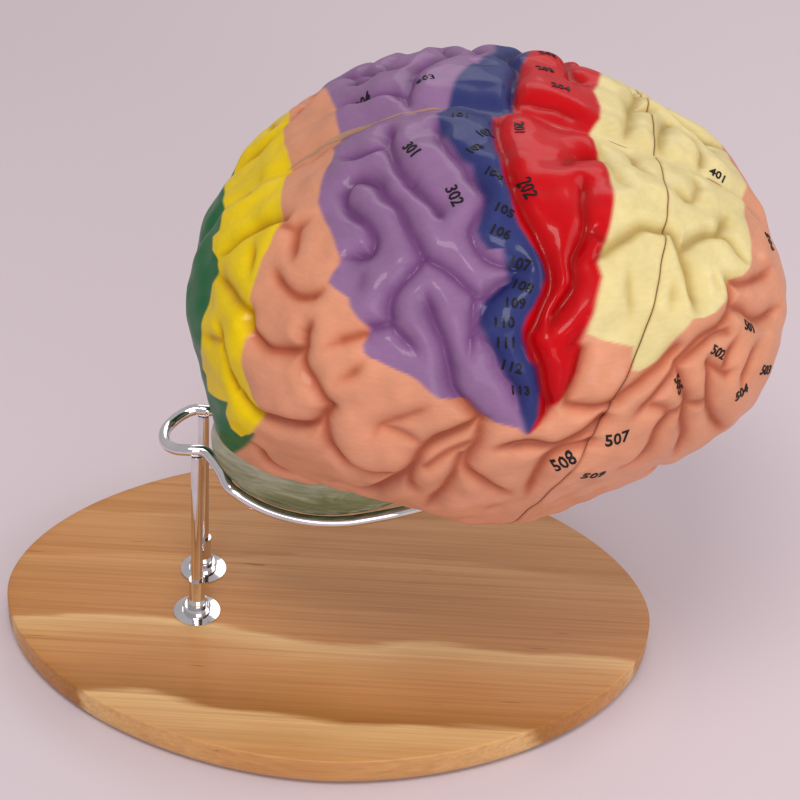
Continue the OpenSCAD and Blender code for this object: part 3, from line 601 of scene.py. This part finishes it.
def cap_faces(ring, holes):
    """Triangles that fill a closed outline in (y, z), leaving round holes open."""
    points = [Vector(p) for p in ring]
    n = len(points)
    edges = [(i, (i + 1) % n) for i in range(n)]
    for cy, cz, r in holes:
        start = len(points)
        points += [Vector((cy + r * math.cos(a), cz + r * math.sin(a)))
                   for a in np.linspace(0, 2 * math.pi, 40, endpoint=False)]
        edges += [(start + i, start + (i + 1) % 40) for i in range(40)]
    verts, _, faces, *_ = delaunay_2d_cdt(points, edges, [list(range(n))], 1, 1e-5)
    kept = []
    for face in faces:
        c = sum((verts[i] for i in face), Vector((0, 0))) / len(face)
        if all((c - Vector((cy, cz))).length > r * 0.97 for cy, cz, r in holes):
            kept.append(face)
    return verts, kept


def carved(t, f, side, lines):
    """Smooth form, its outward direction, its carved surface, and the valleys' depth and painted shade weight."""
    base = smooth_form(t, f)
    along = smooth_form(t + 0.3, f) - smooth_form(t - 0.3, f)
    across = smooth_form(t, np.minimum(f + 0.3, 180)) - smooth_form(t, np.maximum(f - 0.3, 0))
    n = np.cross(along, across)
    n *= np.sign((n * base).sum(-1, keepdims=True)) / np.maximum(np.linalg.norm(n, axis=-1, keepdims=True), 1e-9)
    valley, painted_shade = carving(lines, t, f, base)
    rounding = FISSURE_DEEP * np.exp(-(base[..., 1] / FISSURE_WIDE) ** 2) * smoothstep(-55, -25, base[..., 2])
    seam = 0.35 * np.exp(-(ahead(base) / 1.2) ** 2)
    return base, n, base - n * (valley + rounding + seam - swell(base, side))[..., None], valley, painted_shade


def section(name, replaced, body, side, front, top):
    cols, rows = 360, 120 if front else 262
    f = np.linspace(0, 180, cols + 1)
    crack = crack_angles(f)
    pole = 0.02 if front else 179.98
    t = pole + (crack - pole) * np.linspace(0, 1, rows + 1)[1:, None]
    ff = np.broadcast_to(f, t.shape)
    lines = prepared(GROOVES + top)
    base, _, p, valley, painted_shade = carved(t, ff, side, lines)
    p = p + (BRAIN_X, 0, BRAIN_Z)
    p[..., 1] = np.maximum(p[..., 1], GAP / 2)
    hollow = (1 - smoothstep(28, 40, p[..., 1])) * (1 - smoothstep(86, 98, p[..., 0]))
    floor = tent(p[..., 0])
    floor = floor + np.maximum(STEM_TOP - floor, 0) * hollow
    p[..., 2] = np.maximum(p[..., 2], floor + SEAT_CLEARANCE)
    cut = GAP / 2 if front else -GAP / 2
    p[-1, :, 0] = BRAIN_X + CRACK_X + CRACK_LEAN * (p[-1, :, 2] - BRAIN_Z) + cut
    tip = smooth_form(pole, 90.0) * (1, 0, 1) + (BRAIN_X, GAP / 2, BRAIN_Z)
    low, high = (np.array(v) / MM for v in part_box(replaced))

    colour = paint(t, ff, side)
    # Painted shade: the paint colour is darkened in the valley floors, with valley depth, and along the crack between
    # sections; weaker channels darken more.
    painted_shade = 1 - 0.30 * painted_shade - 0.10 * np.clip(valley / 4.5, 0, 1)
    painted_shade = painted_shade * (1 - 0.25 * np.exp(-(ahead(base) / 0.9) ** 2))
    colour = colour * painted_shade[..., None] ** (3 - 2 * colour / colour.max(-1, keepdims=True))
    w = cols + 1
    grid = np.arange(rows * w).reshape(rows, w)
    count = rows * w
    verts = [p.reshape(-1, 3)]
    colours = [np.c_[colour.reshape(-1, 3), np.ones(count)]]
    quads = np.stack([grid[:-1, :-1], grid[1:, :-1], grid[1:, 1:], grid[:-1, 1:]], -1).reshape(-1, 4)
    faces = quads.tolist()
    flip = (side < 0) != front
    faces += [[count, grid[0, j], grid[0, j + 1]] for j in range(cols)]
    verts.append(tip[None])
    colours.append(np.append(colour[0, cols // 2], 1)[None])
    slots = [0] * len(faces)
    # Medial face
    start = count + 1
    upper, under = p[:, 0], p[:, -1]
    verts += [upper, under, tip[None]]
    last = start + 2 * rows
    medial = [[start + i, start + rows + i, start + rows + i + 1, start + i + 1] for i in range(rows - 1)]
    medial.append([last, start + rows, start])
    faces += medial
    slots += [1] * len(medial)
    # Cut face with its pin sockets
    start = last + 1
    ring = [(q[1], q[2] - BRAIN_Z) for q in p[-1]]
    holes = [(a, b, PIN_R) for a, b in FRONT_PINS] if front else []
    flat, caps = cap_faces(ring, holes)
    verts.append(np.array([(BRAIN_X + CRACK_X + CRACK_LEAN * v[1] + cut, v[0], v[1] + BRAIN_Z) for v in flat]))
    faces += [[start + i for i in face][::-1] for face in caps]
    slots += [1] * len(caps)
    start += len(flat)
    for cy, cz, r in holes:
        for k, a in enumerate(np.linspace(0, 2 * math.pi, 40, endpoint=False)):
            py, pz = cy + r * math.cos(a), cz + r * math.sin(a)
            deep = BRAIN_X + CRACK_X + CRACK_LEAN * cz + PIN_HALF
            verts.append(np.array([[BRAIN_X + CRACK_X + CRACK_LEAN * pz + cut, py, pz + BRAIN_Z],
                                   [deep, py, pz + BRAIN_Z]]))
            j = (k + 1) % 40
            faces.append([start + 2 * k, start + 2 * j, start + 2 * j + 1, start + 2 * k + 1])
            slots.append(2)
        faces.append([start + 2 * k + 1 for k in range(40)])
        slots.append(2)
        start += 80
    verts = np.concatenate(verts) * (1, side, 1)
    verts = np.clip(verts, low, high) * MM
    plain = np.ones((len(verts) - sum(map(len, colours)), 4))
    faces = [face[::-1] for face in faces] if flip else faces
    o = new_object(name, verts, faces, [brain_paint, cut_paint, liner], slots,
                   np.concatenate(colours + [plain]), [s == 0 for s in slots])
    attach(o, body)
    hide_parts(replaced)
    numbers(name + "_numbers", body, side, front, lines, low, high)


def numbers(name, body, side, front, lines, low, high):
    """Thin painted numbers that lie on one section's surface."""
    verts, faces, start = [], [], 0
    for text, t0, f0, turn, size in NUMBERS:
        at = smooth_form(float(t0), abs(float(f0)))
        if (f0 < 0) != (side > 0) or (ahead(at) > 0) != front:
            continue
        curve = bpy.data.curves.new("number", "FONT")
        curve.body, curve.size, curve.resolution_u, curve.offset = text, size * 1.4, 2, 0.12
        curve.align_x, curve.align_y, curve.extrude = "CENTER", "CENTER", 0.2
        drawn = bpy.data.objects.new("number", curve)
        mesh = bpy.data.meshes.new_from_object(drawn)
        fine = bmesh.new()
        fine.from_mesh(mesh)
        bmesh.ops.triangulate(fine, faces=fine.faces)
        for _ in range(3):
            long_edges = [edge for edge in fine.edges if edge.calc_length() > 1.2]
            bmesh.ops.subdivide_edges(fine, edges=long_edges, cuts=1)
            bmesh.ops.triangulate(fine, faces=fine.faces)
        fine.to_mesh(mesh)
        fine.free()
        flat = np.array([v.co[:] for v in mesh.vertices])
        faces += [[start + i for i in p.vertices] for p in mesh.polygons]
        start += len(flat)
        bpy.data.objects.remove(drawn)
        bpy.data.curves.remove(curve)
        bpy.data.meshes.remove(mesh)
        along = smooth_form(t0 + 0.5, abs(f0)) - smooth_form(t0 - 0.5, abs(f0))
        across = smooth_form(t0, abs(f0) + 0.5) - smooth_form(t0, abs(f0) - 0.5)
        n = np.cross(along, across)
        n *= np.sign(n @ at) / np.linalg.norm(n)
        ahead_way = along / np.linalg.norm(along)
        a = math.radians(turn)
        reading = math.cos(a) * ahead_way + math.sin(a) * side * np.cross(n, ahead_way)
        upward = side * np.cross(n, reading)
        shift = flat[:, :1] * reading + flat[:, 1:2] * upward
        steps = shift @ np.linalg.pinv(np.array([along, across]))
        t, f = t0 + steps[:, 0], np.abs(abs(f0) + steps[:, 1])
        _, n, p, *_ = carved(t, f, side, lines)
        verts.append((p + n * (flat[:, 2:] + 0.2) + (BRAIN_X, 0, BRAIN_Z)) * (1, side, 1))
    if not verts:
        return
    verts = np.clip(np.concatenate(verts), low, high) * MM
    if side < 0:
        faces = [face[::-1] for face in faces]
    o = new_object(name, verts, faces, [number_ink], smooth=[False] * len(faces))
    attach(o, body)


REAR = "stand_and_rear"
section("right_rear_half", "right_rear_section", REAR, -1, False, RIGHT_TOP)
section("left_rear_half", "left_rear_section", REAR, 1, False, LEFT_TOP)
section("right_frontal_half", "right_frontal_section", "right_frontal", -1, True, RIGHT_TOP)
section("left_frontal_half", "left_frontal_section", "left_frontal", 1, True, LEFT_TOP)


# Cerebellum, with fine leaf-like ridges

def cerebellum(name, replaced, side):
    rows, cols = 150, 200
    t = np.radians(np.linspace(0, 180, rows + 1))[:, None]
    f = np.radians(np.linspace(0, 360, cols, endpoint=False))[None]
    unit = np.stack([np.cos(t) * np.ones_like(f), np.sin(t) * np.sin(f), np.sin(t) * np.cos(f)], -1)
    p = unit * LEAF_HALF
    lift = p[..., 2] + 0.22 * p[..., 0] + 4 * np.sin(p[..., 0] / 17) + 2.5 * np.sin(p[..., 1] / 9)
    leaves = 0.9 * np.abs(np.sin(lift * math.pi / 6.4)) ** 0.6 + 0.5 * np.abs(np.sin(lift * math.pi / 25))
    edge = np.sin(t) ** 0.5
    p = p - unit * ((1.5 - leaves) * edge)[..., None]
    p = p + LEAF_MIDDLE * (1, -1, 1)
    p[..., 1] = np.maximum(p[..., 1], GAP / 2)
    p[..., 2] = np.minimum(p[..., 2], tent(p[..., 0]) - SEAT_CLEARANCE)
    low, high = (np.array(v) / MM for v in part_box(replaced))
    verts = np.clip((p * (1, side, 1)).reshape(-1, 3), low, high) * MM
    grid = np.arange((rows + 1) * cols).reshape(rows + 1, cols)
    ahead_of = np.roll(grid, -1, axis=1)
    quads = np.stack([grid[:-1], ahead_of[:-1], ahead_of[1:], grid[1:]], -1).reshape(-1, 4)
    faces = quads.tolist() if side < 0 else quads[:, ::-1].tolist()
    o = new_object(name, verts, faces, [leaf_paint])
    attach(o, REAR)
    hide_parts(replaced)


cerebellum("right_cerebellum_half", "right_cerebellum", -1)
cerebellum("left_cerebellum_half", "left_cerebellum", 1)


# Saddle loop, a smooth bent rod along the CAD loop's points

def saddle_loop():
    hug = []
    for angle in np.radians(LOOP_HUG):
        out = math.radians(LOOP_OUT)
        d = np.array((math.sin(angle), -math.cos(angle) * math.sin(out), -math.cos(angle) * math.cos(out)))
        n = d / LEAF_HALF
        hug.append(LEAF_MIDDLE + LEAF_HALF * d + LOOP_RISE * n / np.linalg.norm(n))
    near = np.array(LOOP_REAR + hug + LOOP_FRONT, float)
    path = np.vstack([near, (near[1:-1] * (1, -1, 1))[::-1]])
    n, steps, sides, r = len(path), 8, 24, 3.2
    points = []
    for i in range(n):
        a, b, c, d = (path[(i + k) % n] for k in (-1, 0, 1, 2))
        for k in np.arange(steps) / steps:
            points.append(0.5 * (2 * b + (c - a) * k + (2 * a - 5 * b + 4 * c - d) * k * k
                                 + (3 * b - a - 3 * c + d) * k ** 3))
    points = np.array(points)
    tangent = np.roll(points, -1, 0) - np.roll(points, 1, 0)
    tangent /= np.linalg.norm(tangent, axis=1, keepdims=True)
    across = np.cross(tangent, (0, 0, 1))
    across /= np.linalg.norm(across, axis=1, keepdims=True)
    upward = np.cross(across, tangent)
    turn = np.linspace(0, 2 * math.pi, sides, endpoint=False)[:, None]
    rings = points[:, None] + r * (np.cos(turn) * across[:, None] + np.sin(turn) * upward[:, None])
    m = len(points)
    at = lambda i, k: (i % m) * sides + k % sides
    faces = [[at(i, k), at(i + 1, k), at(i + 1, k + 1), at(i, k + 1)] for i in range(m) for k in range(sides)]
    low, high = (np.array(v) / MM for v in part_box("saddle_loop"))
    o = new_object("saddle_rod", np.clip(rings.reshape(-1, 3), low, high) * MM, faces, [chrome])
    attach(o, REAR)
    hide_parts("saddle_loop")


saddle_loop()


# Board

def board():
    length, width, thick, power, under, edge = 380, 268, 19, 1.85, 7, 1
    steps = 420
    e = 2 / power
    a = np.linspace(0, 2 * math.pi, steps, endpoint=False)

    def oval(inset):
        return np.stack([(length / 2 - inset) * spow(np.cos(a), e), (width / 2 - inset) * spow(np.sin(a), e)], -1)

    arc = [(under * (1 - math.sin(q)), under * (1 - math.cos(q))) for q in np.radians(np.arange(0, 91, 7.5))]
    top = [(edge * (1 - math.cos(q)), thick - edge + edge * math.sin(q)) for q in np.radians((0, 22, 45, 68, 90))]
    profile = arc + top
    inner = [(6 * k, thick) for k in (1, 5)]
    verts = [np.c_[oval(i), np.full(steps, z)] for i, z in profile + inner]
    rings = len(verts)
    faces = [[i * steps + k, i * steps + (k + 1) % steps, (i + 1) * steps + (k + 1) % steps, (i + 1) * steps + k]
             for i in range(rings - 1) for k in range(steps)]
    start = rings * steps
    verts.append(np.array([[0, 0, thick]]))
    faces += [[(rings - 1) * steps + k, (rings - 1) * steps + (k + 1) % steps, start] for k in range(steps)]
    start += 1
    holes = [(-77, 19, 9.5), (-77, -19, 9.5)]
    flat, caps = cap_faces([tuple(v) for v in oval(under)], holes)
    verts.append(np.array([(v[0], v[1], 0) for v in flat]))
    faces += [[start + i for i in face][::-1] for face in caps]
    start += len(flat)
    for cx, cy, r in holes:
        turn = np.linspace(0, 2 * math.pi, 40, endpoint=False)
        circle = np.stack([cx + r * np.cos(turn), cy + r * np.sin(turn)], -1)
        verts += [np.c_[circle, np.zeros(40)], np.c_[circle, np.full(40, 9)]]
        faces += [[start + k, start + 40 + k, start + 40 + (k + 1) % 40, start + (k + 1) % 40] for k in range(40)]
        faces.append([start + 40 + k for k in range(40)][::-1])
        start += 80
    o = new_object("oval_board", np.concatenate(verts) * MM, faces, [board_wood])
    o.data.shade_smooth()
    modifier = o.modifiers.new("edges", "EDGE_SPLIT")
    modifier.split_angle = math.radians(35)
    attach(o, REAR)
    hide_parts("wooden_base")


board()

for names, m in (
    (("right_leg", "left_leg", "leg_sleeves", "flange_washers", "collar_nuts"), chrome),
    (("underside_washers", "underside_nuts", "right_frontal_pins", "left_frontal_pins", "midline_pins",
      "cerebellum_pins"), steel),
    (("brainstem",), stem_paint),
):
    for name in names:
        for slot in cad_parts[name].material_slots:
            slot.material = m


# Floor, lights and camera

def stage_floor():
    m, tree, shader = material("backdrop_paper")
    at = place(tree)
    tone = noise(tree, at, 1.1, 2)
    tree.links.new(ramp(tree, tone, [(0.3, rgba((0.800, 0.748, 0.772))), (0.7, rgba((0.815, 0.765, 0.787)))]),
                   shader.inputs["Base Color"])
    shader.inputs["Roughness"].default_value = 0.9
    shader.inputs["Specular IOR Level"].default_value = 0.1
    o = new_object("floor", [(-30, -30, -0.0002), (30, -30, -0.0002), (30, 30, -0.0002), (-30, 30, -0.0002)],
                   [[0, 1, 2, 3]], [m])


stage_floor()


def area_light(name, at, target, size, power, colour=(1, 1, 1)):
    data = bpy.data.lights.new(name, "AREA")
    data.shape = "RECTANGLE"
    data.size, data.size_y = size
    data.energy = power
    data.color = colour
    o = bpy.data.objects.new(name, data)
    bpy.context.scene.collection.objects.link(o)
    o.location = at
    o.rotation_euler = (Vector(target) - Vector(at)).to_track_quat("-Z", "Y").to_euler()


area_light("key", (-0.15, -0.75, 1.65), (0.04, 0, 0.2), (0.7, 0.5), 13.5, (1.0, 0.97, 0.94))
area_light("fill", (0.5, -1.6, 0.6), (0.05, 0, 0.15), (1.2, 1.0), 10.5, (0.99, 0.99, 1.0))
area_light("side", (1.5, 0.2, 0.8), (0.25, 0, 0.0), (1.0, 0.8), 5.5)
area_light("back", (0.3, 1.5, 1.3), (0.05, 0, 0.2), (1.4, 0.8), 7)

world = bpy.data.worlds.new("studio")
bpy.context.scene.world = world
world.use_nodes = True
world.node_tree.nodes["Background"].inputs[0].default_value = (1.0, 0.965, 0.98, 1)
world.node_tree.nodes["Background"].inputs[1].default_value = 0.5

e, a, r = (math.radians(v) for v in (35.54, -1.20, 4.06))
back = Vector((math.sin(a) * math.cos(e), -math.cos(a) * math.cos(e), math.sin(e)))
right = Vector((math.cos(a), math.sin(a), 0))
up = back.cross(right)
turned_right = right * math.cos(r) + up * math.sin(r)
turned_up = up * math.cos(r) - right * math.sin(r)
camera_data = bpy.data.cameras.new("camera")
camera_data.lens = 90
camera_data.sensor_width = 36
camera = bpy.data.objects.new("camera", camera_data)
bpy.context.scene.collection.objects.link(camera)
camera.matrix_world = Matrix.Translation((0.01426, -0.8954, 0.8049)) @ Matrix(
    (turned_right, turned_up, back)).transposed().to_4x4()
bpy.context.scene.camera = camera

bpy.context.scene.view_settings.view_transform = "Standard"
bpy.context.view_layer.update()
